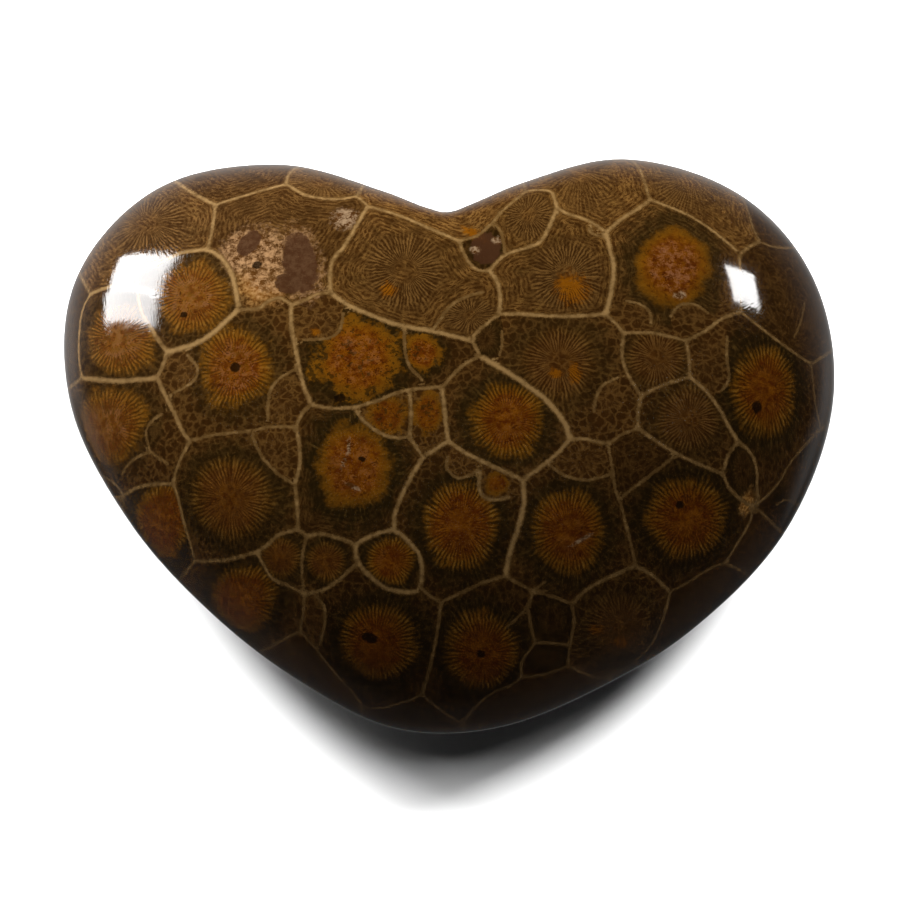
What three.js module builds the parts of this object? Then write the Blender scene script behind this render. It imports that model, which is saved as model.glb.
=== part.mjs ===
// A polished palm stone cut from fossil colonial coral and ground to a puffy heart.
// It is one solid piece of stone. It lies on its back with the heart's point towards -Y,
// its notch towards +Y, and a small flat ground into the belly that keeps it from rocking.
// Millimetres, +Z up. The origin is on the resting plane, under the middle of the stone.

import * as THREE from "three";
import { mergeVertices } from "three/addons/utils/BufferGeometryUtils.js";

// The rim seen from above, anticlockwise from the notch, measured from the dome's axis.
// Rubbed by hand, the heart is a little uneven: its left lobe is the longer one and its
// right flank the rounder one.
const RIM_POINTS = [
  [0.0, 18.9], // bottom of the notch
  [-2.5, 20.4],
  [-7.4, 24.3],
  [-17.4, 28.9], // crest of the left lobe
  [-29.7, 26.8],
  [-37.4, 16.6],
  [-37.4, 3.3], // left side
  [-31.5, -9.0],
  [-23.7, -18.5],
  [-15.1, -26.1],
  [-5.6, -31.7], // the blunt point
  [4.5, -31.8],
  [14.6, -27.4],
  [24.4, -20.5],
  [33.3, -10.2],
  [38.1, 3.3], // right side
  [36.8, 16.4],
  [29.9, 26.0],
  [18.6, 29.8], // crest of the right lobe
  [8.4, 25.8],
  [2.6, 21.2],
];
const RIM_TENSION = 0.5;

// Heights from the plane of the rim, and how the sides belly out between rim and crown.
const DOME_RISE = 16;
const BELLY_DROP = 14;
const SIDE_FULLNESS = 0.35;
const FLAT_GRIND = 0.35; // how much of the belly's lowest point is ground away

// Towards the crown the heart's contours turn into this oval, so the notch runs out
// into the dome as a shallow valley.
const CROWN_OVAL = { halfWidth: 34, halfLength: 27 };
const VALLEY_FADE = 2.5;

// Faces across the width, the length and the thickness of the cube that is blown up
// into the stone.
const FACES = { width: 34, length: 30, thickness: 20 };
const RIM_SAMPLES = 1440;
const MERGE_DISTANCE = 1e-4;

const FULL_TURN = 2 * Math.PI;

// The distance from the dome's axis to the rim, as a function of the angle about that axis.
function makeRimRadius() {
  const points = RIM_POINTS.map(([x, y]) => new THREE.Vector3(x, y, 0));
  const rim = new THREE.CatmullRomCurve3(points, true, "catmullrom", RIM_TENSION);
  const samples = [];
  for (let i = 0; i < RIM_SAMPLES; i++) {
    const point = rim.getPoint(i / RIM_SAMPLES);
    const angle = (Math.atan2(point.y, point.x) + FULL_TURN) % FULL_TURN;
    samples.push({ angle, radius: Math.hypot(point.x, point.y) });
  }
  samples.sort((a, b) => a.angle - b.angle);
  const first = samples[0];
  const last = samples[samples.length - 1];
  samples.push({ angle: first.angle + FULL_TURN, radius: first.radius });
  samples.unshift({ angle: last.angle - FULL_TURN, radius: last.radius });

  return (angle) => {
    const wanted = (angle + FULL_TURN) % FULL_TURN;
    let below = 0;
    let above = samples.length - 1;
    while (above - below > 1) {
      const middle = (below + above) >> 1;
      if (samples[middle].angle <= wanted) below = middle;
      else above = middle;
    }
    const a = samples[below];
    const b = samples[above];
    return THREE.MathUtils.mapLinear(wanted, a.angle, b.angle, a.radius, b.radius);
  };
}

// Moves a point of the unit sphere to the stone's surface.
function toStone(point, rimRadius) {
  const angle = Math.atan2(point.y, point.x);
  const share = Math.hypot(point.x, point.y); // 0 at the crown, 1 at the rim
  const { halfWidth, halfLength } = CROWN_OVAL;
  const oval =
    (halfWidth * halfLength) /
    Math.hypot(halfLength * Math.cos(angle), halfWidth * Math.sin(angle));
  const contour = THREE.MathUtils.lerp(oval, rimRadius(angle), share ** VALLEY_FADE);
  const reach = share * contour;
  const height = point.z > 0 ? DOME_RISE : BELLY_DROP;
  const z = point.z * height * (1 + SIDE_FULLNESS * share * share);
  point.set(reach * Math.cos(angle), reach * Math.sin(angle), Math.max(z, FLAT_GRIND - BELLY_DROP));
}

// A cube with a grid on each side, rounded to a sphere with faces of like size, then
// blown up into the heart. A column of its vertices runs along the notch.
function makeHeart() {
  const cube = new THREE.BoxGeometry(2, 2, 2, FACES.width, FACES.length, FACES.thickness);
  cube.deleteAttribute("normal");
  cube.deleteAttribute("uv");
  const heart = mergeVertices(cube, MERGE_DISTANCE);
  const rimRadius = makeRimRadius();
  const positions = heart.getAttribute("position");
  const point = new THREE.Vector3();
  const even = (t) => Math.tan((t * Math.PI) / 4);
  for (let i = 0; i < positions.count; i++) {
    point.fromBufferAttribute(positions, i);
    point.set(even(point.x), even(point.y), even(point.z)).normalize();
    toStone(point, rimRadius);
    positions.setXYZ(i, point.x, point.y, point.z);
  }
  return heart;
}

// Puts the middle of the flat's plane under the middle of the stone.
function standOnOrigin(geometry) {
  geometry.computeBoundingBox();
  const { min, max } = geometry.boundingBox;
  geometry.translate(-(min.x + max.x) / 2, -(min.y + max.y) / 2, -min.z);
  geometry.computeVertexNormals();
  return geometry;
}

const polishedCoral = new THREE.MeshStandardMaterial({
  name: "polished_fossil_coral",
  color: 0x4a3018,
  roughness: 0.12,
  metalness: 0,
});

const heartStone = new THREE.Mesh(standOnOrigin(makeHeart()), polishedCoral);
heartStone.name = "heart_stone";

const palmStone = new THREE.Group();
palmStone.add(heartStone);

export default palmStone;
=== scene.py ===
"""A palm stone cut from fossil colonial coral: a puffy heart, polished all over.

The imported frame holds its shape. Here the stone gets the coral: every wall between two
corallites, every septate disc and every blotch that the photo shows is laid on the
surface where the camera saw it, and the hidden side goes on in the same manner.
Metres; the photo's own places are given in its pixels.
"""

import math

import bmesh
import bpy
import numpy as np
from mathutils import Matrix, Quaternion, Vector, kdtree
from mathutils.bvhtree import BVHTree
from numpy.linalg import norm

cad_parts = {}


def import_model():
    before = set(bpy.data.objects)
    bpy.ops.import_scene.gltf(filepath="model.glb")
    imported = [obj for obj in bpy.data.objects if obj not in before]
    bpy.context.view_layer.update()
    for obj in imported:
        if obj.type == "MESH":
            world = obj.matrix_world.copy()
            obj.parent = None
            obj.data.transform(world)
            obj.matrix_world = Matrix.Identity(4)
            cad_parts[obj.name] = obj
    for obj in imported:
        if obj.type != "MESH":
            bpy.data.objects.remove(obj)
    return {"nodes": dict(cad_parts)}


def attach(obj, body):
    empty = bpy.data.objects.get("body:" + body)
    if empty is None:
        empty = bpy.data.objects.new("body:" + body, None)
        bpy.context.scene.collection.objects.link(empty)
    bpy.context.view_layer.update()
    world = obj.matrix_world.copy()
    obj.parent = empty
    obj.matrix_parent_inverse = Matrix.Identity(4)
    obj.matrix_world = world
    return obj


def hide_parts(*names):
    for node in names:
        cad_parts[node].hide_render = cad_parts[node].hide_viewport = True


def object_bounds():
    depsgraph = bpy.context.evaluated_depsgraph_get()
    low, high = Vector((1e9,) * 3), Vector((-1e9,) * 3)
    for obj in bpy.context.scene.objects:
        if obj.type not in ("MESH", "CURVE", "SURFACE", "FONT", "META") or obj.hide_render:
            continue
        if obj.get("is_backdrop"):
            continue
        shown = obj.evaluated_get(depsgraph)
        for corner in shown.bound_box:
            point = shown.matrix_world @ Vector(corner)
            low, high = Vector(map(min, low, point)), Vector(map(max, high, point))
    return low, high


MM = 0.001
TINY = 1e-9  # stands in for 0 where something is divided by it
LIGHT_ON_STONE = 5.6  # how much brighter than its paint the lit stone looks
LIGHT_REACH = 0.9  # from the stone to a light
WINDOW_REACH = 0.75  # the same for a light that shows in the polish
FLOOR_SIZE = 1.5

# The photo and the camera that took it.
PHOTO_PIXELS = 900  # along each side
PHOTO_SCALE = 10.17 / MM  # pixels to a metre at the rim
AXIS_PIXEL = (448, 430)  # where the dome's axis meets the plane of the rim
RIM_HEIGHT = 13.65 * MM
CAMERA_ELEVATION = math.radians(60)
CAMERA_DISTANCE = 0.45
SENSOR = 36  # mm

# The stone's mesh, and how the coral is laid on it.
MERGE_DISTANCE = 0.01 * MM
QUAD_ANGLES = {
    "angle_face_threshold": math.radians(40),
    "angle_shape_threshold": math.radians(60),
}
SUBDIVISIONS = 2
SPLINE_STEP = 0.3  # pixels between the points of a wall
FENCE_STEP = 3.0  # the same where a wall only parts two corallites
RIM_RUN = 14  # pixels that a wall runs on where it ends at the stone's edge
WALL_JOIN = 0.8 * MM  # two points of a wall that are nearer than this are joined
LEAST_SEPTA = 16
SEPTA_PER_PIXEL = 0.5  # of the disc's half width and half height together
SPOT_STEP = 0.1 * MM  # a step that shows how the camera foreshortens a spot
SPOT_STRETCH = 1.6  # the most that a bent surface lengthens what a spot measures

# The hidden side's cells.
HORIZON_BINS = 360  # directions round the photo
HORIZON_BLUR = 15  # how many of them are smoothed together
CELL_SPACING = 9 * MM
SEED_CLEARANCE = 7 * MM
SECTOR_SLOPE = 1.6  # how much more it costs a rim cell to reach sideways
RIM_CELL_STRETCH = (0.8, 1.25)  # rim cells reach unequally far
CELL_HANDICAP = 2.2 * MM  # so that the other cells differ in size
CELL_WAVES = 0.06  # how much their boundaries waver
HIDDEN_WALL_PIXELS = (4.0, 6.5)
HIDDEN_DISC_SHARE = (0.5, 0.7)  # of the cell's own radius
HIDDEN_DISC_ASPECT = (0.85, 1.15)
HIDDEN_SEED = 11

# Wall lines between corallites: the wall's width, then how far across and down its middle
# line's points lie.
WALLS = (
    (6, 176,182, 196,195, 215,205), (6, 215,205, 250,194, 286,184),
    (5, 215,205, 213,225, 209,243, 206,250), (5, 286,184, 288,176, 293,170, 303,164),
    (6, 286,184, 303,194, 320,198, 340,199, 357,196), (5, 357,196, 364,184), (5, 357,196, 368,206),
    (6, 368,206, 403,217, 438,232, 459,241), (6, 368,206, 356,226, 345,245, 333,260, 330,277, 331,293),
    (5, 331,293, 317,294, 303,301, 291,304), (5, 291,304, 279,298, 267,302, 258,309, 239,309),
    (6, 291,304, 292,331, 297,356, 303,384, 311,404),
    (7, 239,309, 236,292, 231,273, 220,257, 206,250, 193,251, 178,254, 150,268, 120,282, 103,289, 90,294),
    (8, 239,309, 228,319, 210,335, 192,345, 167,352),
    (6, 167,352, 156,336, 146,320, 141,310, 138,294, 138,274), (6, 167,352, 163,365, 157,378),
    (7, 157,378, 136,380, 113,381, 82,378), (6, 82,378, 79,360, 79,337, 82,312, 90,294),
    (5, 90,294, 80,275), (5, 82,378, 69,388), (6, 157,378, 164,393, 174,413, 183,432, 190,441),
    (4, 187,355, 197,367, 195,379, 185,387, 174,393), (4, 293,370, 279,379, 270,392, 268,407, 268,419),
    (4, 190,441, 205,437, 220,434, 250,431, 270,427, 296,427), (5, 190,441, 182,456, 175,474, 174,484),
    (5, 174,484, 156,484, 139,487, 124,495), (5, 124,495, 116,485, 103,476, 95,468),
    (4, 124,495, 123,510), (5, 174,484, 179,502, 184,523, 190,543, 195,561),
    (5, 195,561, 212,561, 231,559, 257,552), (4, 195,561, 182,577),
    (4, 162,414, 151,422, 146,434, 151,451, 162,460, 168,464), (4, 151,451, 136,458, 127,466, 122,475),
    (5, 296,427, 302,414, 311,404), (5, 296,427, 299,443, 300,462, 295,485),
    (4, 252,435, 260,453, 270,466, 281,476, 295,485), (5, 295,485, 297,504, 298,529),
    (5, 298,529, 279,535, 266,546, 257,552), (5, 298,529, 307,536),
    (5, 257,552, 264,566, 273,579, 289,586, 304,594), (4, 307,536, 303,552, 302,571, 304,594),
    (5, 307,536, 321,534, 338,538, 357,545), (5, 304,594, 323,590, 340,579, 358,562),
    (4, 304,594, 303,613, 300,631), (4, 300,631, 279,642, 260,652),
    (4, 300,631, 318,652, 339,678, 353,693, 364,708), (4, 317,597, 324,607, 325,622, 322,636, 320,645),
    (5, 311,404, 329,408, 354,407, 376,401, 396,393, 415,389, 442,387),
    (5, 354,407, 363,420, 382,434, 398,438, 410,436), (5, 410,391, 411,414, 410,436, 415,445, 423,458),
    (5, 442,387, 462,366, 480,356), (6, 442,387, 444,405, 446,424, 448,441),
    (6, 448,441, 434,450, 423,458, 411,477, 401,497, 395,514, 394,531),
    (6, 448,441, 464,452, 484,462, 503,471, 523,480), (6, 523,480, 539,468, 558,453, 570,439),
    (7, 523,480, 524,502, 519,525, 510,552, 505,576),
    (8, 480,356, 507,372, 528,386, 547,401, 564,422, 570,439), (5, 570,439, 585,439, 608,444),
    (5, 480,356, 472,341), (7, 331,293, 348,305, 376,317, 399,325, 432,331, 453,336, 472,341),
    (5, 472,341, 478,331, 499,314), (6, 499,314, 500,297, 497,281, 489,271),
    (6, 499,314, 520,314, 549,316, 575,316, 606,314), (4, 404,329, 405,350, 409,365, 422,380),
    (4, 432,331, 442,317, 453,304, 468,296, 483,292), (3, 502,331, 502,345, 499,356),
    (5, 459,241, 463,252, 471,265, 479,270, 489,271),
    (6, 489,271, 505,255, 526,248, 540,242, 548,229, 557,208), (6, 557,208, 552,193, 541,190, 526,191),
    (4, 526,191, 523,183), (5, 526,191, 512,203, 501,212, 493,222, 478,235, 459,241),
    (6, 557,208, 568,214, 587,220, 606,232), (4, 589,228, 591,233, 604,237),
    (6, 606,232, 623,218, 636,210, 650,200), (7, 606,232, 610,249, 614,268, 612,287, 606,314),
    (5, 650,200, 645,184, 640,170, 633,161), (6, 650,200, 667,206, 690,216, 709,228, 728,243, 740,254),
    (5, 740,254, 749,247, 760,241), (5, 740,254, 740,268, 741,312),
    (4, 760,241, 753,228, 749,214, 744,201), (4, 760,241, 770,246, 782,248, 795,248),
    (5, 741,312, 723,318, 705,331, 686,341), (5, 741,312, 755,323, 774,338, 793,352, 811,364),
    (4, 811,364, 824,356, 834,349), (4, 811,364, 813,382, 816,407, 821,429),
    (3, 805,302, 801,321, 794,338), (5, 686,341, 671,337, 652,333, 624,333),
    (5, 686,341, 689,358, 690,377), (5, 624,333, 615,323, 606,314),
    (5, 624,333, 622,354, 627,373, 641,396), (5, 690,377, 675,381, 656,388, 641,396),
    (6, 690,377, 706,391, 720,410, 729,427, 738,441), (5, 641,396, 638,412, 638,428),
    (4, 638,428, 623,434, 608,444), (5, 638,428, 656,441, 675,453, 694,462, 723,474),
    (4, 608,444, 612,466, 615,487, 621,506, 627,529, 633,552, 635,566),
    (4, 551,466, 564,475, 583,480, 598,478, 612,474), (4, 623,496, 640,483, 660,468, 672,458),
    (5, 738,441, 728,456, 723,474), (5, 738,441, 752,455, 757,472, 757,489, 760,502),
    (5, 723,474, 730,489, 742,500, 751,505, 760,502), (4, 751,505, 763,514, 772,523, 783,533),
    (5, 751,505, 751,519, 742,536, 732,552, 725,563), (4, 821,429, 830,430),
    (4, 821,429, 809,441, 791,462, 780,481, 770,493, 760,502), (3, 776,505, 786,500, 793,502, 800,507),
    (4, 725,563, 742,571, 751,577), (4, 725,563, 709,569, 690,581, 670,592),
    (5, 635,566, 614,575, 589,588, 572,604), (5, 635,566, 652,575, 670,592),
    (5, 670,592, 665,613, 656,636, 643,654, 625,668, 604,678), (4, 572,604, 554,597, 533,591),
    (4, 572,604, 574,622, 570,645, 568,666), (4, 533,591, 516,582, 505,576), (3, 533,591, 545,582),
    (4, 533,591, 529,613, 535,643), (3, 531,597, 522,613, 506,628),
    (4, 505,576, 482,583, 463,592, 441,602), (4, 441,602, 430,596, 420,587),
    (4, 441,602, 438,626, 433,655, 427,678, 422,695),
    (6, 357,545, 374,535, 394,531, 410,543, 421,560, 420,587, 407,592, 386,588, 371,577, 358,562, 357,545),
    (4, 422,695, 401,703, 382,708, 364,708, 362,715), (4, 422,695, 433,704, 449,716, 464,724),
    (4, 464,731, 464,724, 474,708, 493,693, 512,685, 522,677), (4, 522,677, 522,662, 535,643),
    (4, 522,677, 545,674, 568,666), (4, 535,643, 552,643, 570,645),
    (4, 568,666, 593,677, 604,678, 612,681), (4, 448,456, 447,468, 457,478, 468,476, 478,470),
    (5, 480,472, 479,487, 484,497, 495,500, 510,497), (4, 627,301, 640,304, 650,312, 651,323),
    (4, 671,316, 679,306, 694,304, 708,313), (4, 727,337, 727,360, 729,379, 722,390),
    (4, 617,378, 602,386, 595,402, 594,413), (4, 343,314, 340,329, 329,338, 304,340),
    (4, 493,222, 501,232, 504,245, 505,255),
)

# Gaps in the walls: a cell ends here, with no wall to be seen.
GAPS = (
    (187,355, 180,348), (174,393, 165,396), (293,370, 301,368), (268,419, 268,428), (162,414, 173,410),
    (168,464, 180,462), (252,435, 250,431), (404,329, 404,325), (422,380, 424,389), (483,292, 500,293),
    (502,331, 499,314), (499,356, 492,363), (448,456, 452,444), (478,470, 484,462), (480,472, 484,462),
    (510,497, 524,495), (551,466, 545,463), (623,496, 617,492), (672,458, 675,453), (627,301, 611,300),
    (651,323, 651,333), (671,316, 670,337), (708,313, 722,318), (727,337, 727,316), (722,390, 712,399),
    (617,378, 628,374), (594,413, 594,441), (343,314, 345,303), (304,340, 293,340), (317,597, 313,592),
    (320,645, 315,649),
)

# How a corallite is preserved, as six shares: its disc is stained orange; dark slots stand
# between its septa; a dark ring lies round the disc; its middle is pink; the ground's
# strands are light; and they form a lace rather than lines along the walls.
LOOKS = {
    "rusty": (1, 0.8, 0.9, 0.18, 0.45, 0.6), "smooth": (1, 0.05, 0.8, 1, 0.6, 0.2),
    "round": (1, 0.15, 1, 0.35, 0.3, 0.3), "blobby": (1, 0, 0.9, 0.4, 0.3, 0.7),
    "rosy": (0.85, 0.7, 0.6, 0.6, 0.5, 0.9), "dull": (0.7, 0.9, 0.9, 0.1, 0.3, 0.7),
    "brown": (0, 1, 0.1, 0, 0.7, 0.1), "fan": (0, 0.8, 0, 0, 0.85, 0.3),
    "olive": (0.25, 0.9, 0.5, 0, 0.5, 0.7), "golden": (0, 0, 0, 0, 0.9, 0),
    "amber": (0.38, 0.9, 0.8, 0, 0.5, 0.6), "bud": (0.15, 0.3, 0, 0, 0.55, 0.8),
    "filled": (0.55, 0.2, 0, 0, 0.5, 0.9), "bare": (0, 0, 0, 0, 0.25, 0.5),
    "streaked": (0, 0, 0, 0, 0.45, 0), "dark": (0, 0.3, 0.6, 0, 0.1, 0.7),
}

# The corallites that the photo shows: centre, half width and half height of the disc, look.
CORALLITES = (
    (147,223, 40,30, "brown"), (241,178, 34,12, "streaked"), (323,182, 36,16, "fan"),
    (440,224, 40,10, "golden"), (579,171, 34,26, "fan"), (690,180, 36,28, "fan"),
    (770,225, 20,20, "bare"), (775,290, 28,28, "bare"), (825,390, 10,30, "bare"),
    (800,480, 18,24, "dark"), (765,545, 14,20, "bare"), (710,610, 30,26, "bare"),
    (560,690, 26,12, "bare"), (420,715, 24,8, "bare"), (300,670, 26,18, "bare"),
    (240,601, 30,30, "rusty"), (161,523, 26,36, "rusty"), (108,490, 10,10, "bare"),
    (108,426, 28,35, "rosy"), (70,335, 6,30, "bare"), (192,296, 33,33, "rosy"), (118,339, 32,32, "rosy"),
    (235,367, 33,36, "rosy"), (185,372, 11,15, "bud"), (283,398, 13,20, "bud"),
    (270,262, 46,44, "streaked"), (405,270, 39,39, "brown"), (470,315, 26,18, "brown"),
    (486,248, 12,12, "dark"), (528,215, 24,24, "brown"), (567,276, 36,36, "brown"),
    (674,266, 34,38, "smooth"), (637,314, 12,9, "bud"), (691,314, 16,9, "bud"), (559,362, 36,34, "olive"),
    (486,338, 11,14, "dark"), (608,396, 11,15, "bud"), (657,358, 28,28, "olive"),
    (689,419, 30,30, "olive"), (766,390, 30,42, "dull"), (707,360, 13,17, "bud"),
    (744,470, 10,22, "dark"), (688,518, 37,37, "dull"), (640,455, 16,16, "bare"),
    (569,532, 33,39, "rusty"), (581,459, 24,13, "bud"), (461,525, 33,41, "dull"), (464,465, 12,10, "bud"),
    (497,484, 11,10, "filled"), (391,560, 22,22, "rusty"), (508,419, 34,34, "rusty"),
    (358,358, 38,38, "blobby"), (320,325, 16,12, "bud"), (422,353, 17,17, "blobby"),
    (387,415, 18,18, "filled"), (428,414, 14,20, "filled"), (354,466, 34,40, "round"),
    (230,499, 38,38, "amber"), (278,450, 14,16, "bud"), (280,559, 19,19, "amber"),
    (326,561, 18,18, "amber"), (377,643, 35,35, "dull"), (316,619, 10,16, "bud"),
    (482,653, 33,36, "dull"), (552,619, 14,16, "dark"), (547,658, 16,8, "dark"),
    (621,626, 30,30, "olive"),
)
HIDDEN_LOOKS = ("rusty", "brown", "dull", "olive", "rosy", "amber", "bare", "bud")

# Blotches on top of the coral. Each kind has the softness of its edge, then for each blotch
# the centre, half width, half height and turn in degrees.
BLOTCHES = {
    "amber": (
        0.5, (388,290, 10,8, 20), (475,235, 16,6, 30), (572,289, 18,17, 30), (556,373, 7,6, 0),
        (575,373, 8,11, 0), (316,332, 5,5, 0), (596,630, 8,6, 0), (621,643, 8,6, 0),
    ),
    "pit": (
        0.15, (680,505, 5,4, 0), (757,407, 5,7, 0), (257,265, 5,4, 0), (235,367, 5,5, 0),
        (340,398, 7,4, 0), (481,654, 5,4, 0), (370,638, 9,5, 20), (362,459, 4,3, 0),
        (184,315, 4,3.5, 0),
    ),
    # Pale crystal. The two blotches by the notch at 497,240 and 475,250 are also painted glints of the
    # lamps on the notch's polish.
    "crystal_and_glint": (
        0.35, (345,218, 13,10, 0), (349,446, 2,9, 0), (344,462, 2,10, 25), (352,486, 10,2.5, 25),
        (581,540, 14,2, -30), (497,240, 5,4, 0), (475,250, 5,4, 0), (680,295, 6,4, 0),
    ),
    "chocolate": (
        0.08, (300,262, 17,31, -12), (288,284, 13,10, 20), (249,243, 9,15, 40),
        (486,248, 15,16, 0),
    ),
    "granular": (0.4, (265,262, 24,32, -15), (243,250, 18,22, 30), (300,262, 19,34, -12)),
    "tan": (0.6, (262,284, 22,18, 0), (747,503, 6,12, 20)),
}


def paint(red, green, blue):
    """A colour as a screen shows it, 0 to 255, turned into the light it stands for."""
    shares = (channel / 255 for channel in (red, green, blue))
    light = (s / 12.92 if s <= 0.04045 else ((s + 0.055) / 1.055) ** 2.4 for s in shares)
    return (*light, 1)


def show(name, data):
    """Puts an object with this mesh, camera or light into the scene."""
    thing = bpy.data.objects.new(name, data)
    bpy.context.scene.collection.objects.link(thing)
    return thing


class Viewpoint:
    """The photo's camera, and where it sees a point."""

    def __init__(self, axis):
        sin, cos = math.sin(CAMERA_ELEVATION), math.cos(CAMERA_ELEVATION)
        self.right = np.array((1.0, 0.0, 0.0))
        self.up = np.array((0.0, sin, cos))
        self.back = np.array((0.0, -cos, sin))
        middle = PHOTO_PIXELS / 2
        target = np.array(axis) + self.right * (middle - AXIS_PIXEL[0]) / PHOTO_SCALE
        target = target + self.up * (AXIS_PIXEL[1] - middle) / PHOTO_SCALE
        self.place = target + self.back * CAMERA_DISTANCE
        self.focal = PHOTO_SCALE * CAMERA_DISTANCE

    def pixels(self, points):
        """Where the photo shows these points."""
        reach = np.asarray(points) - self.place
        depth = -reach @ self.back
        across = self.focal * (reach @ self.right) / depth
        down = -self.focal * (reach @ self.up) / depth
        return np.stack((across, down), axis=-1) + PHOTO_PIXELS / 2

    def ray(self, pixel):
        """The direction in which the camera looks at this pixel."""
        across = (pixel[0] - PHOTO_PIXELS / 2) / self.focal
        down = (pixel[1] - PHOTO_PIXELS / 2) / self.focal
        return Vector(self.right * across - self.up * down - self.back)

    def make_camera(self):
        data = bpy.data.cameras.new("camera")
        data.sensor_width = SENSOR
        data.lens = self.focal / PHOTO_PIXELS * SENSOR
        camera = show("camera", data)
        turn = Matrix((self.right, self.up, self.back)).transposed().to_4x4()
        camera.matrix_world = Matrix.Translation(self.place) @ turn
        bpy.context.scene.camera = camera


class Surface:
    """The stone's mesh as arrays, and what the photo's camera sees of it."""

    def __init__(self, mesh, view):
        self.view = view
        self.points = read(mesh.vertices, "co").reshape(-1, 3)
        normals = read(mesh.vertex_normals, "vector").reshape(-1, 3)
        self.quads = read(mesh.loops, "vertex_index", int).reshape(-1, 4)
        edges = read(mesh.loops, "edge_index", int)
        self.edges = read(mesh.edges, "vertices", int).reshape(-1, 2)
        face_of_corner = np.repeat(np.arange(len(self.quads)), 4)
        order = np.argsort(edges, kind="stable")
        self.neighbours = face_of_corner[order].reshape(-1, 2)
        self.middles = self.points[self.quads].mean(axis=1)
        self.areas = read(mesh.polygons, "area")
        self.pixels = view.pixels(self.points)
        self.middle_pixels = view.pixels(self.middles)
        self.seen = ((view.place - self.points) * normals).sum(axis=1) > 0
        self.middle_seen = self.seen[self.quads].all(axis=1)
        self.tree = BVHTree.FromPolygons(
            [Vector(p) for p in self.points], [tuple(q) for q in self.quads.tolist()]
        )

    def land(self, pixel):
        """The point and the normal where the camera's ray through a pixel meets the stone."""
        return self.tree.ray_cast(Vector(self.view.place), self.view.ray(pixel))[:2]

    def land_inside(self, pixel):
        """The same, but a pixel just off the stone is moved inwards until it meets it."""
        pixel = np.array(pixel, float)
        inwards = AXIS_PIXEL - pixel
        inwards /= norm(inwards)
        while self.land(pixel)[0] is None:
            pixel += inwards
        return self.land(pixel)


def read(items, name, kind=float):
    """One property of all these items, in a row."""
    first = getattr(items[0], name)
    width = len(first) if hasattr(first, "__len__") else 1
    values = np.empty(len(items) * width, np.float32 if kind is float else np.int32)
    items.foreach_get(name, values)
    return values.astype(kind)


def make_stone_mesh(node):
    """The CAD solid's mesh, closed, in quads, and fine enough to hold the coral."""
    shell = bmesh.new()
    shell.from_mesh(node.data)
    bmesh.ops.remove_doubles(shell, verts=shell.verts, dist=MERGE_DISTANCE)
    bmesh.ops.join_triangles(shell, faces=shell.faces, **QUAD_ANGLES)
    for face in shell.faces:
        face.smooth = True
    coarse = bpy.data.meshes.new("heart_blank")
    shell.to_mesh(coarse)
    shell.free()
    blank = show("heart_blank", coarse)
    smooth = blank.modifiers.new("smooth", "SUBSURF")
    smooth.levels = smooth.render_levels = SUBDIVISIONS
    bpy.context.view_layer.update()
    finished = blank.evaluated_get(bpy.context.evaluated_depsgraph_get())
    mesh = bpy.data.meshes.new_from_object(finished)
    mesh.name = "polished_heart"
    bpy.data.objects.remove(blank)
    bpy.data.meshes.remove(coarse)
    return mesh


def smooth_line(points, step=SPLINE_STEP):
    """A curve through the points that were read from the photo, sampled evenly."""
    points = np.array(points, float)
    closed = (points[0] == points[-1]).all()
    before = points[-2] if closed else 2 * points[0] - points[1]
    after = points[1] if closed else 2 * points[-1] - points[-2]
    padded = np.vstack((before, points, after))
    pieces = []
    for a, b, c, d in zip(padded, padded[1:], padded[2:], padded[3:]):
        count = max(2, int(norm(c - b) / step))
        t = np.linspace(0, 1, count, endpoint=False)[:, None]
        pieces.append(
            0.5 * (2 * b + (c - a) * t + (2 * a - 5 * b + 4 * c - d) * t**2
                   + (3 * b - a - 3 * c + d) * t**3)
        )
    pieces.append(points[-1:])
    return np.vstack(pieces)


def cross(a, b):
    return a[..., 0] * b[..., 1] - a[..., 1] * b[..., 0]


def crosses(starts, ends, line):
    """Which of the short steps from starts to ends cross the line."""
    hit = np.zeros(len(starts), bool)
    margin = 8  # pixels
    low, high = line.min(axis=0) - margin, line.max(axis=0) + margin
    near = np.flatnonzero(((starts > low) & (starts < high)).all(axis=1))
    p, r = starts[near], (ends - starts)[near]
    for a, b in zip(line, line[1:]):
        across = cross(r, b - a)
        across[across == 0] = TINY
        t = cross(a - p, b - a) / across
        u = cross(a - p, r) / across
        hit[near] |= (t >= 0) & (t <= 1) & (u >= 0) & (u <= 1)
    return hit


def spread(labels, steps, open_steps):
    """Lets each label flow from face to face over the open steps until nothing changes."""
    a, b = steps[open_steps].T
    while True:
        before = labels.copy()
        for source, sink in ((a, b), (b, a)):
            flows = (labels[source] >= 0) & (labels[sink] < 0)
            labels[sink[flows]] = labels[source[flows]]
        if (labels == before).all():
            return labels


def run_over_edge(points, surface):
    """The wall's points; an end at the edge of what the photo shows runs on over it."""
    points = list(np.reshape(points, (-1, 2)).astype(float))
    for end, before in ((0, 1), (-1, -2)):
        heading = points[end] - points[before]
        beyond = points[end] + heading * RIM_RUN / norm(heading)
        if surface.land(beyond)[0] is None:
            points.insert(len(points) if end else 0, beyond)
    return points


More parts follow.
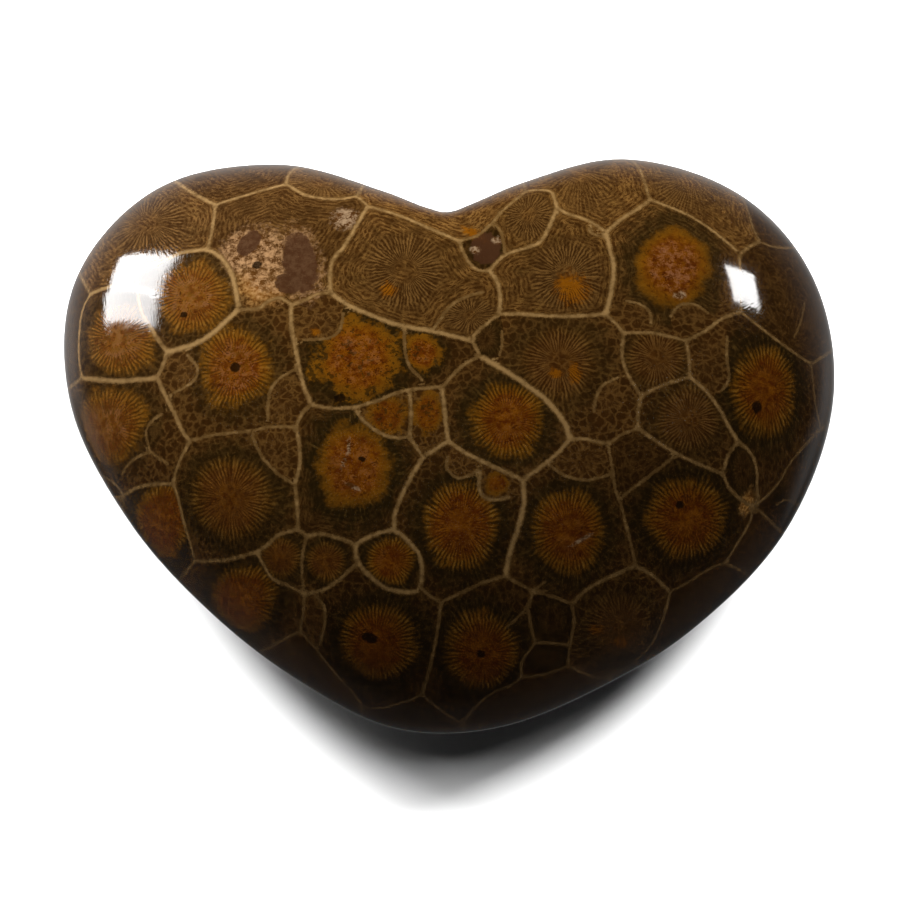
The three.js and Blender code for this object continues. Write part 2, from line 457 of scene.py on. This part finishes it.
def label_seen_side(surface):
    """The corallite that each seen face belongs to; -1 for a hidden face."""
    steps = surface.neighbours
    steps = steps[surface.middle_seen[steps].all(axis=1)]
    starts, ends = surface.middle_pixels[steps[:, 0]], surface.middle_pixels[steps[:, 1]]
    blocked = np.zeros(len(steps), bool)
    walls = [run_over_edge(points, surface) for _, *points in WALLS]
    for line in walls + [np.reshape(gap, (-1, 2)) for gap in GAPS]:
        blocked |= crosses(starts, ends, smooth_line(line, FENCE_STEP))
    labels = np.full(len(surface.quads), -1)
    seen = np.flatnonzero(surface.middle_seen)
    for index, (u, v, *_) in enumerate(CORALLITES):
        reach = norm(surface.middle_pixels[seen] - (u, v), axis=1)
        labels[seen[reach.argmin()]] = index
    labels = spread(labels, steps, ~blocked)
    return spread(labels, steps, np.ones(len(steps), bool))


def turn_of(pixels):
    """The direction of each pixel from the dome's axis, counted in bins round the photo."""
    offsets = pixels - AXIS_PIXEL
    return np.arctan2(-offsets[:, 1], offsets[:, 0]) / (2 * math.pi) * HORIZON_BINS


def angle_bins(pixels):
    return np.floor(turn_of(pixels)).astype(int) % HORIZON_BINS


def between_bins(values, pixels):
    """The bins' values in the direction of each pixel, blended from one bin to the next."""
    place = turn_of(pixels) - 0.5
    low = np.floor(place).astype(int)
    share = (place - low).reshape(-1, *[1] * (values.ndim - 1))
    low, high = values[low % HORIZON_BINS], values[(low + 1) % HORIZON_BINS]
    return low * (1 - share) + high * share


def outermost(pixels, counts=True):
    """For each direction, which of the pixels that count lies farthest out."""
    reach = norm(pixels - AXIS_PIXEL, axis=1) * counts
    bins = angle_bins(pixels)
    rows = (np.flatnonzero(bins == step) for step in range(HORIZON_BINS))
    return [row[reach[row].argmax()] for row in rows]


class Horizon:
    """The edge of what the camera sees: its point and its corallite in each direction."""

    def __init__(self, surface, labels):
        self.points = surface.points[outermost(surface.pixels)]
        self.labels = labels[outermost(surface.middle_pixels, labels >= 0)]
        self.rim = sorted(set(self.labels.tolist()))
        self.even_out()

    def even_out(self):
        """Smooths the line through the points, which were picked from the mesh."""
        weights = np.hanning(HORIZON_BLUR + 2)
        weights /= weights.sum()
        half = HORIZON_BLUR // 2 + 1
        padded = np.vstack((self.points[-half:], self.points, self.points[:half]))
        axes = [np.convolve(axis, weights, "valid") for axis in padded.T]
        self.points = np.stack(axes, axis=1)

    def costs(self, points, pixels, stretch):
        """How far each point lies from each rim corallite's stretch of the horizon."""
        turn = np.arange(HORIZON_BINS)
        edge = between_bins(self.points, pixels)
        bin_width = norm(edge[:, :2], axis=1) * 2 * math.pi / HORIZON_BINS
        beyond = norm(points - edge, axis=1)
        costs = []
        for label, pull in zip(self.rim, stretch):
            gap = np.abs(turn[:, None] - turn[self.labels == label])
            gap = np.minimum(gap, HORIZON_BINS - gap).min(axis=1)
            aside = between_bins(gap.astype(float), pixels) * bin_width
            costs.append(beyond * pull + SECTOR_SLOPE * aside)
        return np.stack(costs, axis=1)


def ripple(points, chance):
    """A soft random waviness over the points, about 1 high."""
    waves = np.zeros(len(points))
    for length in (7 * MM, 4 * MM, 2.5 * MM):
        for _ in range(3):
            heading = chance.normal(size=3)
            heading *= 2 * math.pi / length / norm(heading)
            waves += np.sin(points @ heading + chance.uniform(0, 2 * math.pi)) / 4
    return waves


def scatter_seeds(surface, horizon, chance):
    """Points spread over the hidden side, about one corallite's width apart."""
    hidden = np.flatnonzero(~surface.seen)
    bins = angle_bins(surface.pixels[hidden])
    beyond = norm(surface.points[hidden] - horizon.points[bins], axis=1)
    choice = chance.permutation(hidden[beyond > SEED_CLEARANCE])
    seeds = []
    for point in surface.points[choice]:
        if all(norm(point - other) > CELL_SPACING for other in seeds):
            seeds.append(point)
    return np.array(seeds)


class HiddenCells:
    """Corallites on the side that the photo doesn't show. Those at the rim go on from the
    seen side; the others are spread at random."""

    def __init__(self, surface, seen_labels):
        self.chance = np.random.default_rng(HIDDEN_SEED)
        self.surface = surface
        self.horizon = Horizon(surface, seen_labels)
        self.seeds = scatter_seeds(surface, self.horizon, self.chance)
        rim = self.horizon.rim
        self.stretch = self.chance.uniform(*RIM_CELL_STRETCH, len(rim))
        self.handicap = self.chance.uniform(0, CELL_HANDICAP, len(self.seeds))
        self.labels = np.append(rim, len(CORALLITES) + np.arange(len(self.seeds)))
        self.wave_seed = int(self.chance.integers(1000))

    def costs(self, points, pixels):
        rim = self.horizon.costs(points, pixels, self.stretch)
        own = norm(points[:, None] - self.seeds, axis=2)
        waves = ripple(points, np.random.default_rng(self.wave_seed))[:, None]
        own = own * (1 + CELL_WAVES * waves) + self.handicap
        return np.hstack((rim, own))

    def label(self, labels):
        """Fills in the labels of the hidden faces."""
        hidden = np.flatnonzero(labels < 0)
        costs = self.costs(self.surface.middles[hidden], self.surface.middle_pixels[hidden])
        labels[hidden] = self.labels[costs.argmin(axis=1)]
        return labels

    def walls(self):
        """Points along the boundaries of the hidden cells, with the walls' half widths."""
        points, edges = self.surface.points, self.surface.edges
        edges = edges[(~self.surface.seen[edges]).any(axis=1)]
        costs = self.costs(points, self.surface.pixels)
        owner = costs.argmin(axis=1)
        a, b = edges[owner[edges[:, 0]] != owner[edges[:, 1]]].T
        lead_a = costs[a, owner[b]] - costs[a, owner[a]]
        lead_b = costs[b, owner[a]] - costs[b, owner[b]]
        share = (lead_a / (lead_a + lead_b))[:, None]
        places = points[a] * (1 - share) + points[b] * share
        widths = self.chance.uniform(*HIDDEN_WALL_PIXELS, (len(self.labels),) * 2)
        low, high = np.minimum(owner[a], owner[b]), np.maximum(owner[a], owner[b])
        return places, widths[low, high] / 2 / PHOTO_SCALE


def lay_walls(surface):
    """Points along the walls of the seen side, with the walls' half widths."""
    places, halves = [], []
    for width, *points in WALLS:
        for pixel in smooth_line(run_over_edge(points, surface)):
            place, _ = surface.land(pixel)
            if place is not None:
                places.append(place)
                halves.append(width / 2 / PHOTO_SCALE)
    return np.array(places), np.array(halves)


def nearest_walls(surface, places, halves):
    """For each vertex, the way to the nearest wall's middle line, and its half width."""
    tree = kdtree.KDTree(len(places))
    for index, place in enumerate(places):
        tree.insert(place, index)
    tree.balance()
    ways = np.zeros_like(surface.points)
    nearby = np.zeros(len(surface.points))
    for index, point in enumerate(surface.points):
        (_, first, _), (_, second, _) = tree.find_n(point, 2)
        a, b = places[first], places[second]
        along = b - a
        length = along @ along
        share = 0.0
        if 0 < length < WALL_JOIN**2:
            share = min(1.0, max(0.0, (point - a) @ along / length))
        ways[index] = a + along * share - point
        nearby[index] = halves[first]
    return ways, nearby


class Spot:
    """A place on the stone. It says how far other points lie from it, in the pixels of
    the photo, or as many of them as a camera straight above would see."""

    def __init__(self, surface, point, normal, seen):
        self.point = np.array(point, float)
        normal = np.array(normal, float)
        across = np.cross((0.0, 1.0, 0.0), normal)
        if norm(across) < 0.2:
            across = np.array((1.0, 0.0, 0.0))
        self.across = across / norm(across)
        self.along = np.cross(normal, self.across)
        if seen:
            ends = self.point + np.array((self.across, self.along)) * SPOT_STEP
            moved = surface.view.pixels(ends) - surface.view.pixels(self.point)
            self.shear = moved / SPOT_STEP
        else:
            self.shear = np.array(((1, 0), (0, -1))) * PHOTO_SCALE

    def offsets(self, points):
        reach = points - self.point
        flat = np.stack((reach @ self.across, reach @ self.along), axis=1)
        stretch = norm(reach, axis=1) / np.maximum(norm(flat, axis=1), TINY)
        return flat * np.clip(stretch, 1, SPOT_STRETCH)[:, None] @ self.shear


def disc_fields(surface, labels, chance):
    """Each face corner's place on its own corallite's disc, and that corallite's looks."""
    corner_points = surface.points[surface.quads].reshape(-1, 3)
    disc, stain, mood = np.zeros((3, len(corner_points), 3))
    for label in sorted(set(labels.tolist())):
        faces = labels == label
        corners = np.repeat(faces, 4)
        if label < len(CORALLITES):
            u, v, half_width, half_height, look = CORALLITES[label]
            spot = Spot(surface, *surface.land_inside((u, v)), seen=True)
        else:
            weights = surface.areas[faces][:, None]
            centre = (surface.middles[faces] * weights).sum(axis=0) / weights.sum()
            spot = Spot(surface, *surface.tree.find_nearest(Vector(centre))[:2], seen=False)
            radius = math.sqrt(weights.sum() / math.pi) * PHOTO_SCALE
            half_width = radius * chance.uniform(*HIDDEN_DISC_SHARE)
            half_height = half_width * chance.uniform(*HIDDEN_DISC_ASPECT)
            look = HIDDEN_LOOKS[int(chance.integers(len(HIDDEN_LOOKS)))]
        disc[corners, :2] = spot.offsets(corner_points[corners]) / (half_width, half_height)
        disc[corners, 2] = round(LEAST_SEPTA + SEPTA_PER_PIXEL * (half_width + half_height))
        stain[corners], mood[corners] = LOOKS[look][:3], LOOKS[look][3:]
    return disc, stain, mood


def blotch_fields(surface):
    """For each kind of blotch, 1 at its middle, 0 at its edge and below 0 outside."""
    fields = {}
    for kind, (_, *marks) in BLOTCHES.items():
        field = np.full(len(surface.points), -1.0)
        for u, v, half_width, half_height, turn in marks:
            spot = Spot(surface, *surface.land_inside((u, v)), seen=True)
            across, down = spot.offsets(surface.points).T
            sin, cos = math.sin(math.radians(turn)), math.cos(math.radians(turn))
            x = (across * cos + down * sin) / half_width
            y = (down * cos - across * sin) / half_height
            field = np.maximum(field, 1 - np.hypot(x, y))
        fields[kind] = field
    return fields


def lay_coral(mesh, view):
    """Works out the coral on the stone and keeps it as the mesh's attributes."""
    surface = Surface(mesh, view)
    labels = label_seen_side(surface)
    hidden = HiddenCells(surface, labels)
    labels = hidden.label(labels)
    places, halves = map(np.concatenate, zip(lay_walls(surface), hidden.walls()))
    ways, nearby = nearest_walls(surface, places, halves)
    disc, stain, mood = disc_fields(surface, labels, hidden.chance)
    walls = {
        "way_to_wall": ways / MM,
        "wall_gap": norm(ways, axis=1) / MM,
        "wall_half": nearby / MM,
    }
    discs = {"disc": disc, "stain": stain, "mood": mood}
    for domain, fields in (("POINT", {**walls, **blotch_fields(surface)}), ("CORNER", discs)):
        for name, values in fields.items():
            kind, slot = ("FLOAT", "value") if values.ndim == 1 else ("FLOAT_VECTOR", "vector")
            attribute = mesh.attributes.new(name, kind, domain)
            attribute.data.foreach_set(slot, values.astype(np.float32).ravel())


class Wire:
    """A socket in a material's tree, so that its maths is written as expressions."""

    def __init__(self, recipe, socket):
        self.recipe = recipe
        self.socket = socket

    def __add__(self, other):
        return self.recipe.math("ADD", self, other)

    def __sub__(self, other):
        return self.recipe.math("SUBTRACT", self, other)

    def __mul__(self, other):
        return self.recipe.math("MULTIPLY", self, other)

    def __truediv__(self, other):
        return self.recipe.math("DIVIDE", self, other)

    def __rsub__(self, other):
        return self.recipe.math("SUBTRACT", other, self)

    __radd__ = __add__
    __rmul__ = __mul__


class Recipe:
    """The node tree of a material or of the world."""

    def __init__(self, owner):
        self.owner = owner
        owner.use_nodes = True
        self.tree = owner.node_tree
        self.tree.nodes.clear()

    def node(self, kind, settings=None, output=0, **inputs):
        """Adds a node: its settings come first, then the values or links of its sockets.
        A socket's name is written with underscores; a number in it is its place. The last
        node of a tree gives nothing on, so its output is None."""
        node = self.tree.nodes.new(kind)
        for key, value in (settings or {}).items():
            setattr(node, key, value)
        for key, value in inputs.items():
            place = int(key[3:]) if key.startswith("in_") else key.replace("_", " ")
            socket = node.inputs[place]
            if isinstance(value, Wire):
                self.tree.links.new(value.socket, socket)
            else:
                socket.default_value = value
        return None if output is None else Wire(self, node.outputs[output])

    def math(self, operation, *values, kind="ShaderNodeMath", output=0):
        places = {f"in_{place}": value for place, value in enumerate(values)}
        return self.node(kind, {"operation": operation}, output, **places)

    def vector(self, operation, *values, output=0):
        return self.math(operation, *values, kind="ShaderNodeVectorMath", output=output)

    def step(self, value, low, high):
        """0 below low, 1 above high, and smooth between them."""
        if low > high:
            return 1 - self.step(value, high, low)
        settings = {"interpolation_type": "SMOOTHSTEP"}
        return self.node("ShaderNodeMapRange", settings, Value=value, From_Min=low, From_Max=high)

    def band(self, value, low, full, falling, high):
        """1 between full and falling, 0 below low and above high."""
        return self.step(value, low, full) * self.step(value, high, falling)

    def blend(self, share, below, above):
        """One colour over another."""
        inputs = {"in_0": share, "in_6": below, "in_7": above}
        return self.node("ShaderNodeMix", {"data_type": "RGBA"}, 2, **inputs)

    def coat(self, colour, *coats):
        """Colours over one another, each with its share."""
        for share, above in coats:
            colour = self.blend(share, colour, above)
        return colour

    def scale(self, vector, factor):
        return self.node("ShaderNodeVectorMath", {"operation": "SCALE"}, in_0=vector, Scale=factor)

    def attribute(self, name, output="Fac"):
        return self.node("ShaderNodeAttribute", {"attribute_name": name}, output)

    def split(self, vector):
        return [self.node("ShaderNodeSeparateXYZ", None, axis, Vector=vector) for axis in range(3)]

    def noise(self, vector, scale, detail=2.0, roughness=0.5, output="Fac"):
        return self.node(
            "ShaderNodeTexNoise", None, output,
            Vector=vector, Scale=scale, Detail=detail, Roughness=roughness,
        )

    def surface(self, shader, output, **inputs):
        """Ends the tree with this shader."""
        self.node(output, None, None, Surface=self.node(shader, **inputs))

    def finish(self, **inputs):
        self.surface("ShaderNodeBsdfPrincipled", "ShaderNodeOutputMaterial", **inputs)
        return self.owner


# Colours of the coral, as the photo shows them on the brightest part of the stone.
WALL_CREAM = paint(188, 148, 92)
WALL_TAN = paint(118, 86, 44)
HOLE_WARM = paint(92, 55, 18)
HOLE_DARK = paint(46, 26, 4)
PLATE = paint(150, 107, 52)
PLATE_DARK = paint(98, 66, 27)
OLIVE_BLACK = paint(38, 27, 5)
FRINGE = paint(132, 98, 44)
SEPTUM = paint(174, 128, 54)
RAY = paint(132, 94, 46)
SLOT_BROWN = paint(60, 34, 8)
SLOT_RED = paint(60, 24, 3)
RUST = paint(150, 86, 5)
RUST_DARK = paint(102, 45, 2)
OCHRE = paint(134, 87, 15)
BLUSH = paint(166, 110, 76)
AMBER = paint(168, 100, 4)
CHOCOLATE = paint(84, 52, 32)
GRANULAR = paint(206, 158, 108)
TAN_FILL = paint(208, 154, 84)
# pale crystal, also the colour of the painted glints by the notch
CRYSTAL_AND_GLINT = paint(184, 152, 116)
PIT = paint(24, 12, 2)


class Coral:
    """The coral's pattern, layer by layer, from the attributes that lay_coral kept."""

    def __init__(self):
        r = self.recipe = Recipe(bpy.data.materials.new("polished_coral"))
        metres = r.node("ShaderNodeTexCoord", None, "Object")
        self.place = r.vector("MULTIPLY", metres, (1 / MM,) * 3)
        self.right, self.back, _ = r.split(self.place)
        disc = r.attribute("disc", "Vector")
        self.septa = r.split(disc)[2]
        flat = r.vector("MULTIPLY", disc, (1, 1, 0))
        self.heading = r.vector("NORMALIZE", flat)
        across, along = r.split(flat)[:2]
        self.rust, self.rays, self.halo = r.split(r.attribute("stain", "Vector"))
        self.blush, self.pale, self.net = r.split(r.attribute("mood", "Vector"))
        self.cloud = r.noise(self.place, 0.35, 2)
        bend = r.noise(self.place, 0.6, 1, output="Color")
        self.bend, self.turn, self.swell = r.split(bend)
        drift = r.noise(self.place, 1.4, 2, output="Color")
        self.drift = r.vector("SUBTRACT", drift, (0.5, 0.5, 0.5))
        self.wobble, self.patch, self.fade = r.split(self.drift)
        self.mottle = r.noise(self.place, 2.8, 3, 0.6)
        self.grain = r.noise(self.place, 6.0, 2, 0.6)
        smooth_radius = r.vector("LENGTH", flat, output="Value")
        self.radius = smooth_radius * (1.2 - 0.4 * self.cloud) + 0.1 * self.wobble
        self.comb = self.comb_round(across, along)
        self.streak = self.noise_along_rays()
        self.to_middle = self.distance_to_wall()

    def distance_to_wall(self):
        """Millimetres to the middle line of the nearest wall. Near the line, the length of
        the blended way to it is true where a blend of lengths isn't."""
        r = self.recipe
        gap = r.attribute("wall_gap")
        crossing = r.vector("LENGTH", r.attribute("way_to_wall", "Vector"), output="Value")
        near = r.step(gap, 0.5, 0.3)
        return crossing * near + gap * (1 - near)

    def comb_round(self, across, along):
        """1 on a septum, -1 midway between two."""
        angle = self.recipe.math("ARCTAN2", along, across)
        return self.recipe.math("COSINE", angle * self.septa + 8 * self.wobble)

    def noise_along_rays(self):
        """Noise drawn out along the rays of a disc, from about -1 to 1."""
        r = self.recipe
        outwards = r.node("ShaderNodeCombineXYZ", Z=self.radius * 3 + self.cloud * 9)
        turned = r.vector("ADD", r.scale(self.heading, self.septa * 0.25), outwards)
        return 4 * r.noise(turned, 1.0, 1.5) - 2

    def strands(self, warp):
        """Thin lines that run along the walls."""
        wave = self.recipe.math("SINE", self.to_middle * 13 + warp)
        return self.recipe.step(wave, 0.1, 1.0)

    def ground(self):
        """Thin light plates over dark stone: strands that part and meet along the walls, or
        a lace round small holes."""
        r = self.recipe
        strands = r.math(
            "MAXIMUM",
            self.strands(15 * self.bend + 3 * self.wobble + 5 * self.mottle),
            self.strands(15 * self.turn + 3 * self.patch - 5 * self.mottle),
        )
        strands = strands * (0.25 + 0.75 * r.step(self.fade + self.patch + self.swell, 0.2, 0.9))
        spot = r.vector("ADD", r.scale(self.place, 1.2), self.drift)
        cells = {"feature": "DISTANCE_TO_EDGE"}
        holes = r.node("ShaderNodeTexVoronoi", cells, "Distance", Vector=spot, Scale=1.0)
        lace = r.step(holes, 0.2, 0.0) * r.step(self.fade, -0.25, 0.05)
        web = strands * r.step(self.net, 0.85, 0.2)
        web = web + lace * (0.3 + 0.7 * r.step(self.net, 0.2, 0.8))
        bare = self.mottle + 0.5 * self.fade + self.swell - 0.5
        hole = r.blend(self.pale * (0.5 + 0.5 * r.step(bare, 0.2, 0.8)), HOLE_DARK, HOLE_WARM)
        plate = r.blend(self.pale, PLATE_DARK, PLATE)
        return r.blend(web * (0.5 + 0.5 * self.pale - 0.15 * self.net), hole, plate)

    def darken_halo(self, colour):
        """A dark ring round the disc, with a fringe of threads that run on from its septa."""
        r = self.recipe
        ring = r.step(self.radius + self.patch, 1.9, 1.2) * r.step(self.radius, 0.6, 0.95)
        fringe = r.step(0.4 * self.comb + self.streak, 0.0, 1.4) * ring
        fringe = fringe * r.step(self.fade, -0.2, 0.2) * r.math("MAXIMUM", self.halo, self.rays)
        return r.coat(colour, (ring * self.halo * 0.85, OLIVE_BLACK), (fringe * 0.5, FRINGE))

    def draw_brown_rays(self, colour):
        """Fine septa with dark slots between them, fading into the plates around."""
        r = self.recipe
        ring = r.band(self.radius, 0.15, 0.45, 0.8, 1.2)
        plain = 1 - r.step(self.rust, 0.3, 0.6)
        rays = r.step(0.5 * self.comb + 0.8 * self.streak, -0.5, 0.9)
        tint = r.blend(rays, SLOT_BROWN, RAY)
        share = self.rays * plain * ring * r.step(self.mottle + self.patch, 0.0, 0.4)
        return r.blend(share * 0.8, colour, tint)

    def stain_disc(self, colour):
        """The rust of a stained disc: plain in the middle, then dark slots between the
        septa, then olive ochre that frays out. On the upper left lobe the ochre fills the
        disc. A disc without septa is ragged and pocked."""
        r = self.recipe
        teeth = 0.7 * self.comb + 0.7 * self.streak
        uneven = 0.6 * self.mottle + 0.4 * self.grain + 0.5 * self.patch
        ragged = (1 - self.rays) * self.net
        edge = self.radius - 0.06 * self.rays * teeth
        edge = edge + (0.15 + 0.6 * ragged) * (self.mottle - 0.5 + self.patch)
        edge = edge + 1.5 * ragged * (self.swell - 0.6)
        share = r.step(edge, 1.2, 0.85) * r.step(self.rust, 0.1, 0.7)
        patch = r.step(r.attribute("amber") + self.wobble + self.mottle - 0.5, -0.3, 0.6)
        golden = 0.3 + 0.6 * r.step(self.mottle + self.patch, 0.35, 0.6)
        golden = golden * r.step(self.back - self.right, 12, 40)
        outer = r.step(self.radius + 0.3 * self.fade, 0.6, 1.05) * (1 - patch)
        striped = self.rays * r.band(self.radius, 0.2, 0.6, 0.95, 1.25)
        striped = striped * r.step(self.mottle + self.patch + self.fade, 0.0, 0.6)
        specks = r.step(self.grain + self.wobble, 0.4, 0.25) * r.step(self.radius, 0.1, 0.3)
        pocks = ragged * r.step(self.turn + 0.8 * self.mottle + self.wobble, 1.0, 1.15)
        fleck = self.blush * r.step(self.radius, 0.85, 0.5)
        rust = r.coat(
            RUST_DARK,
            (r.step(uneven + 0.5 * self.fade, 0.3, 0.7), RUST),
            (patch * 0.6, AMBER),
            (r.math("MAXIMUM", outer * 0.8, golden), OCHRE),
            (r.step(teeth, 0.1, -0.6) * striped * 0.85, r.blend(outer, SLOT_RED, OLIVE_BLACK)),
            (r.step(teeth, 0.2, 1.1) * striped * outer * 0.7, SEPTUM),
            (specks * 0.6, SLOT_RED),
            (pocks, OLIVE_BLACK),
            (fleck * r.step(self.grain + self.patch, 0.45, 0.8) * 0.7, BLUSH),
        )
        return r.blend(r.math("MAXIMUM", share * 0.95, patch * 0.85), colour, rust)

    def add_blotches(self, colour):
        r = self.recipe
        rubble = self.mottle + self.grain + 1.5 * self.patch - 0.6
        tints = {
            "tan": r.blend(r.step(self.mottle, 0.3, 0.65), RUST, TAN_FILL),
            "granular": r.blend(r.step(rubble, 0.1, 0.8), HOLE_WARM, GRANULAR),
            "chocolate": r.blend(self.mottle * 0.5, CHOCOLATE, SLOT_BROWN),
            "crystal_and_glint": r.blend(r.step(rubble, 0.2, 0.7), HOLE_WARM, CRYSTAL_AND_GLINT),
            "pit": PIT,
        }
        uneven = 1.2 * self.wobble + 0.8 * (self.mottle - 0.5)
        for kind, tint in tints.items():
            soft = BLOTCHES[kind][0]
            share = r.step(r.attribute(kind) + uneven * (0.3 + soft), -soft, soft)
            colour = r.blend(share * 0.9, colour, tint)
        return colour

    def draw_walls(self, colour):
        r = self.recipe
        half = r.attribute("wall_half")
        frayed = self.to_middle + 0.45 * (self.mottle - 0.5) + 0.1 * (self.grain - 0.5)
        across = frayed / (half * (0.85 + 0.6 * self.wobble))
        bright = r.step(half + 0.4 * self.fade, 0.13, 0.4) * r.step(across, 1.1, 0.1)
        tint = r.blend(bright, WALL_TAN, WALL_CREAM)
        return r.blend(r.step(across, 1.4, 0.6) * 0.9, colour, tint)

    def paint_light_and_shade(self, colour):
        """Painted light and shade: the colour is brightest at the upper left lobe, where the lamps fall,
        and darkens towards the lower right. A random cloud of tone lies over it, and a painted sheen greys
        the upper left."""
        r = self.recipe
        # painted light and shade: brighter towards the back and the left, darker towards the front and the
        # right, never below a floor value; the cloud term adds random tone
        painted_light_and_tone = 0.9 + 0.018 * self.back - 0.01 * self.right + 0.3 * (self.cloud - 0.5)
        painted_light_and_tone = r.math("MAXIMUM", painted_light_and_tone, 0.4 + 0.004 * self.right)
        colour = r.scale(colour, painted_light_and_tone / LIGHT_ON_STONE)
        # painted sheen: the colour is greyed at the upper left, as a soft reflection of the lamps on the
        # polish would grey it
        painted_sheen_saturation = 1 - 0.05 * r.step(self.back - self.right, 10, 60)
        return r.node("ShaderNodeHueSaturation", None, "Color", Saturation=painted_sheen_saturation, Color=colour)

    def finish(self):
        r = self.recipe
        colour = self.ground()
        for layer in (
            self.darken_halo, self.draw_brown_rays, self.stain_disc, self.add_blotches,
            self.draw_walls, self.paint_light_and_shade,
        ):
            colour = layer(colour)
        scratches = r.noise(r.vector("MULTIPLY", self.place, (9, 0.8, 0.8)), 1.0, 2)
        scratches = scratches * r.step(self.right, 0, -20)
        relief = self.streak * r.band(self.radius, 0.1, 0.4, 1.1, 1.5)
        height = 0.12 * relief + 0.4 * scratches + 0.1 * self.wobble
        bump = r.node("ShaderNodeBump", Strength=0.4, Distance=0.03 * MM, Height=height)
        return r.finish(
            Base_Color=colour,
            Roughness=0.04 + 0.05 * self.mottle,
            Normal=bump,
            IOR=1.54,
        )


def make_stone(frame, view):
    mesh = make_stone_mesh(frame["nodes"]["heart_stone"])
    lay_coral(mesh, view)
    stone = show("polished_heart", mesh)
    mesh.materials.clear()
    mesh.materials.append(Coral().finish())
    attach(stone, "root")
    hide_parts("heart_stone")


def make_floor():
    slab = bmesh.new()
    bmesh.ops.create_grid(slab, x_segments=1, y_segments=1, size=FLOOR_SIZE)
    mesh = bpy.data.meshes.new("floor")
    slab.to_mesh(mesh)
    slab.free()
    floor = show("floor", mesh)
    recipe = Recipe(bpy.data.materials.new("white_paper"))
    mesh.materials.append(recipe.finish(Base_Color=(0.85, 0.85, 0.85, 1), Roughness=0.9))
    floor.visible_glossy = False
    floor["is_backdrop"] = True


def add_light(name, turn, rise, size, power, window=False, roll=0):
    """A softbox turned round the stone and raised above the floor by angles in degrees.
    One that isn't a window lights the stone without showing in its polish."""
    data = bpy.data.lights.new(name, "AREA")
    data.shape = "RECTANGLE"
    data.size, data.size_y = size
    data.energy = power
    light = show(name, data)
    turn, rise = math.radians(turn), math.radians(rise)
    flat = math.cos(rise)
    heading = Vector((math.cos(turn) * flat, math.sin(turn) * flat, math.sin(rise)))
    light.location = heading * (WINDOW_REACH if window else LIGHT_REACH)
    aim = (-heading).to_track_quat("-Z", "Y")
    light.rotation_euler = (aim @ Quaternion((0, 0, 1), math.radians(roll))).to_euler()
    light.visible_glossy = window


def light_scene():
    add_light("left_back", 135, 25, (0.24, 0.16), 12.5)
    add_light("right_back", 45, 25, (0.24, 0.16), 4.5)
    add_light("right_high", 30, 54, (0.3, 0.3), 13)
    add_light("left_high", 150, 52, (0.3, 0.3), 6)
    add_light("top", 90, 88, (0.6, 0.6), 8)
    add_light("front", 270, 35, (0.5, 0.4), 0.15)
    add_light("high_window", 133.5, 15.5, (0.15, 0.3), 2.2, True, 15)
    add_light("low_window", 143, 17, (0.105, 0.33), 1.5, True, 15)
    add_light("right_window", 47, 22.2, (0.118, 0.11), 0.7, True, 55)
    bpy.context.scene.world = studio_air()
    bpy.context.scene.view_settings.view_transform = "Standard"


def studio_air():
    """What surrounds the floor: white behind it, but in the polish only a dim glow, most
    of it from the back and some from the sides."""
    world = bpy.data.worlds.new("studio")
    world.cycles_visibility.diffuse = False
    r = Recipe(world)
    right, back, up = r.split(r.node("ShaderNodeTexCoord", None, "Generated"))
    behind = r.step(back, 0.25, 0.55) * r.step(up, 0.15, -0.6)
    behind = behind * (1 - 0.5 * r.step(right, 0.2, 0.5))
    beside = r.step(r.math("ABSOLUTE", right), 0.5, 0.75) * r.step(up, -0.3, -0.6)
    beside = beside * r.band(back, 0.05, 0.25, 0.4, 0.6)
    glow = 0.02 + 0.03 * r.step(up, -0.3, -0.7) + 0.5 * behind + 0.2 * beside
    direct = r.node("ShaderNodeLightPath", None, "Is Camera Ray")
    r.surface("ShaderNodeBackground", "ShaderNodeOutputWorld", Strength=glow + direct)
    return world


def main():
    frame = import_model()
    cad_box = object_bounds()
    crown = max((v.co for v in frame["nodes"]["heart_stone"].data.vertices), key=lambda p: p.z)
    view = Viewpoint((crown.x, crown.y, RIM_HEIGHT))
    view.make_camera()
    make_stone(frame, view)
    make_floor()
    light_scene()
    sizes = [[list(map(float, corner)) for corner in box] for box in (cad_box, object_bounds())]


main()
